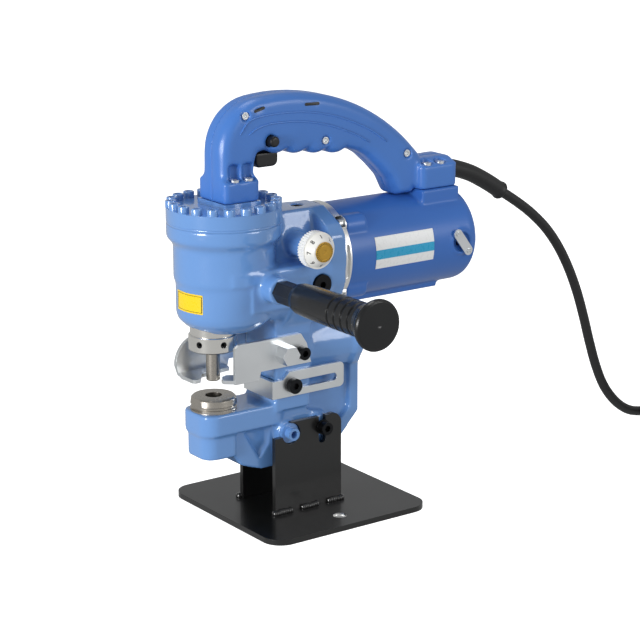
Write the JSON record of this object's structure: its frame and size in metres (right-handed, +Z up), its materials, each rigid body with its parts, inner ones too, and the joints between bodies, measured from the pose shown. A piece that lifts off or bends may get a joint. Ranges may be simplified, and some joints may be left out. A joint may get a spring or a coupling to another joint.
{
  "type": "hydraulic hole punch",
  "caption": "Electric hydraulic hole punch on a bench stand: cylinder with ram and punch over a die in a C frame, motor behind, loop handle and side grip.",
  "frame": {"origin": "centre of the base plate's underside, on the bench", "axes": "+X from the punch towards the motor, +Y away from the relief dial's side, +Z up"},
  "size_m": [0.5999, 0.2495, 0.3332],
  "materials": {
    "cast_paint": "glossy light blue enamel on a casting",
    "blue_plastic": "satin moulded blue",
    "adapter_white": "bright machined",
    "stand_black": "satin black",
    "black_steel": "black oxide",
    "zinc": "zinc plated",
    "tool_steel": "turned and ground",
    "bronze": "bearing bronze",
    "copper": "copper segments and windings",
    "rubber": "black rubber",
    "black_plastic": "matt black",
    "dial_white": "white moulded"
  },
  "bodies": {
    "frame": {"stand_plate": "stand_black", "stand_upright_near": "stand_black", "stand_upright_far": "stand_black", "stand_hook_bolts": "cast_paint", "stand_screws": "black_steel", "frame_casting": "cast_paint", "pump_casting": "cast_paint", "cylinder_cover": "cast_paint", "cover_gasket": "rubber", "cover_screws": "cast_paint", "rod_bush": "bronze", "rod_seal": "rubber", "return_spring": "tool_steel", "die": "tool_steel", "die_lock_screw": "zinc", "stripper_near": "zinc", "stripper_far": "zinc", "stripper_bolts": "zinc", "stripper_screws": "black_steel", "gauge_screw": "black_steel", "handle_half_near": "blue_plastic", "handle_half_far": "blue_plastic", "handle_screws": "zinc", "mount_screws": "zinc", "switch_body": "black_plastic", "cord_sleeve": "rubber", "motor_housing": "blue_plastic", "motor_adapter": "adapter_white", "adapter_screws": "zinc", "stator": "tool_steel", "shaft_bearings": "tool_steel", "carbon_brushes": "black_plastic", "brush_covers": "zinc", "brush_cover_screws": "zinc", "pump_block": "tool_steel", "pump_plunger": "tool_steel", "filler_plug": "black_steel", "relief_plug": "black_steel", "side_grip": "rubber", "side_handle_stud": "black_plastic", "cord_lead": "rubber", "cord_coil": "rubber", "cord_plug": "rubber", "plug_blades": "bronze"},
    "ram": {"piston_ram": "tool_steel", "piston_seal": "rubber", "punch_holder": "tool_steel", "holder_set_screws": "black_steel", "punch": "tool_steel"},
    "trigger": {"trigger": "black_plastic"},
    "lock_button": {"lock_button": "black_plastic"},
    "dial": {"dial_knob": "dial_white", "valve_stem": "tool_steel"},
    "gauge": {"back_gauge": "zinc"},
    "rotor": {"rotor_core": "copper", "commutator": "copper", "rotor_shaft": "tool_steel", "cooling_fan": "black_plastic"},
    "gear": {"drive_gear": "tool_steel", "eccentric_shaft": "tool_steel"}
  },
  "joints": [
    {"name": "punch_stroke", "type": "slide", "parent": "frame", "child": "ram", "axis": [0, 0, -1], "range_m": [0, 0.016], "stiffness_N_per_m": 3000, "springref_m": -0.012, "deforming": ["return_spring"]},
    {"name": "trigger_pull", "type": "slide", "parent": "frame", "child": "trigger", "axis": [0, 0, 1], "range_m": [0, 0.005], "stiffness_N_per_m": 500, "springref_m": -0.002},
    {"name": "lock_press", "type": "slide", "parent": "frame", "child": "lock_button", "axis": [0, 1, 0], "range_m": [0, 0.0025], "stiffness_N_per_m": 400, "springref_m": -0.001},
    {"name": "dial_turn", "type": "hinge", "parent": "frame", "child": "dial", "pos_m": [-0.019, -0.045, 0.2195], "axis": [0, -1, 0], "range_deg": [-135, 135]},
    {"name": "gauge_slide", "type": "slide", "parent": "frame", "child": "gauge", "axis": [-1, 0, 0], "range_m": [0, 0.019]},
    {"name": "rotor_spin", "type": "hinge", "parent": "frame", "child": "rotor", "pos_m": [0, 0, 0.203], "axis": [1, 0, 0], "continuous": true},
    {"name": "gear_spin", "type": "hinge", "parent": "frame", "child": "gear", "pos_m": [0, 0, 0.179], "axis": [1, 0, 0], "continuous": true}
  ],
  "couplings": [
    {"joint": "gear_spin", "follows": "rotor_spin", "ratio": -0.33333}
  ]
}
